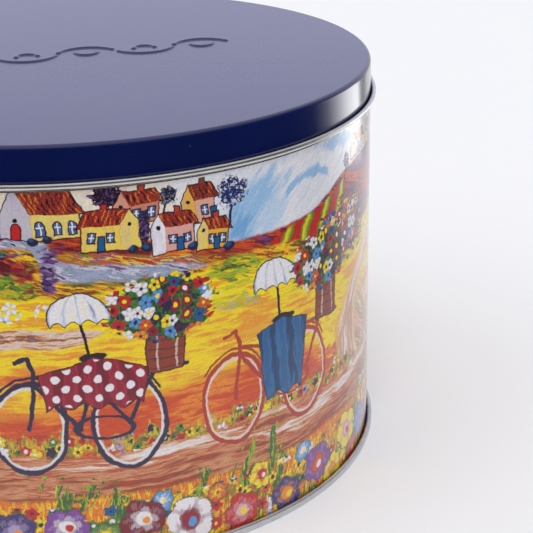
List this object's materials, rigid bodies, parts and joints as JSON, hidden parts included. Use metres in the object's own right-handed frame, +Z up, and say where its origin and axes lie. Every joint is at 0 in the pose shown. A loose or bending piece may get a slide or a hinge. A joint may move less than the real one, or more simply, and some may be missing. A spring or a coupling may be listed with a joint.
{
  "type": "round cookie tin",
  "caption": "Round tinplate cookie tin with a seamed-on bottom, a necked and rolled mouth, and a shallow lift-off slip lid embossed with a running vine.",
  "frame": {"origin": "on the tin's axis, in the plane it stands on", "axes": "+Z up along the tin's axis; -Y is the side seen most directly in the reference view; the wall's side seam faces +Y"},
  "size_m": [0.1934, 0.1934, 0.1205],
  "materials": {
    "printed_tinplate": "offset-printed and varnished outside, bare tinplate inside",
    "bare_tinplate": "satin bare tinplate",
    "sealing_compound": "matt",
    "lid_lacquer": "glossy dark blue lacquer outside, bare tinplate inside and on the rolled edge"
  },
  "bodies": {
    "tin": {"body_shell": "printed_tinplate", "bottom_end": "bare_tinplate", "seam_compound": "sealing_compound"},
    "lid": {"lid": "lid_lacquer"}
  },
  "joints": [
    {"name": "lid_lift", "type": "slide", "parent": "tin", "child": "lid", "axis": [0, 0, 1], "range_m": [0, 0.09]}
  ]
}
